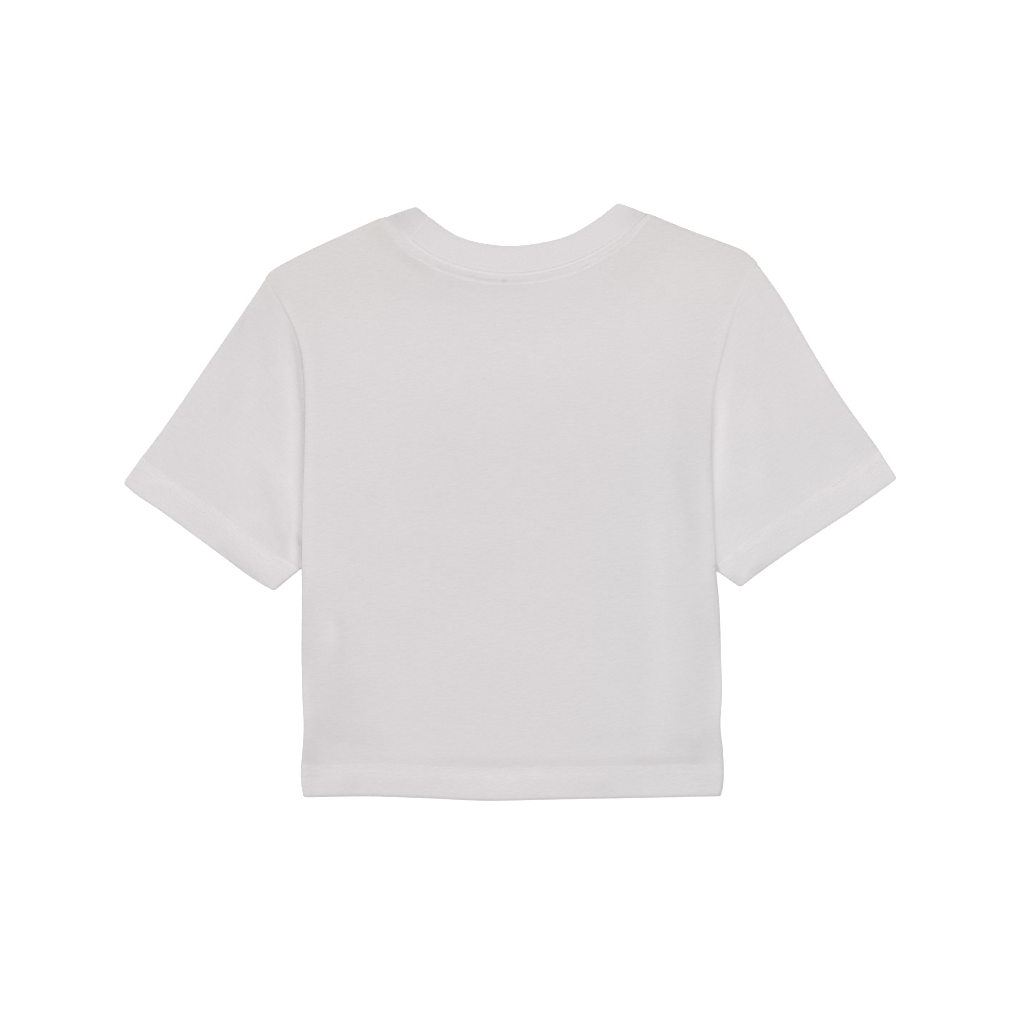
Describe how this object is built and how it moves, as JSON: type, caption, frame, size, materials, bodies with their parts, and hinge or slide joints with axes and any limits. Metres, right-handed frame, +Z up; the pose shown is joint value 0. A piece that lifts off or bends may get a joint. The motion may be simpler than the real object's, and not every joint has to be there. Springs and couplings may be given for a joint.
{
  "type": "crop top",
  "caption": "Short boxy jersey T-shirt with wide short sleeves and a ribbed crew neck, lying flat on its front with its back uppermost.",
  "frame": {"origin": "on the surface that the garment lies on, under the middle of its outline", "axes": "+X to the right as seen from above the back panel, +Y from the hem towards the neck, +Z up, out of the back panel"},
  "size_m": [0.6182, 0.4784, 0.0049],
  "materials": {
    "jersey": "matt single jersey, off-white",
    "rib": "matt 1x1 rib, off-white",
    "tape": "matt jersey tape, off-white"
  },
  "bodies": {
    "root": {"back_panel": "jersey", "front_panel": "jersey", "sleeve_left": "jersey", "sleeve_right": "jersey", "neck_rib": "rib", "neck_tape": "tape"}
  },
  "joints": []
}
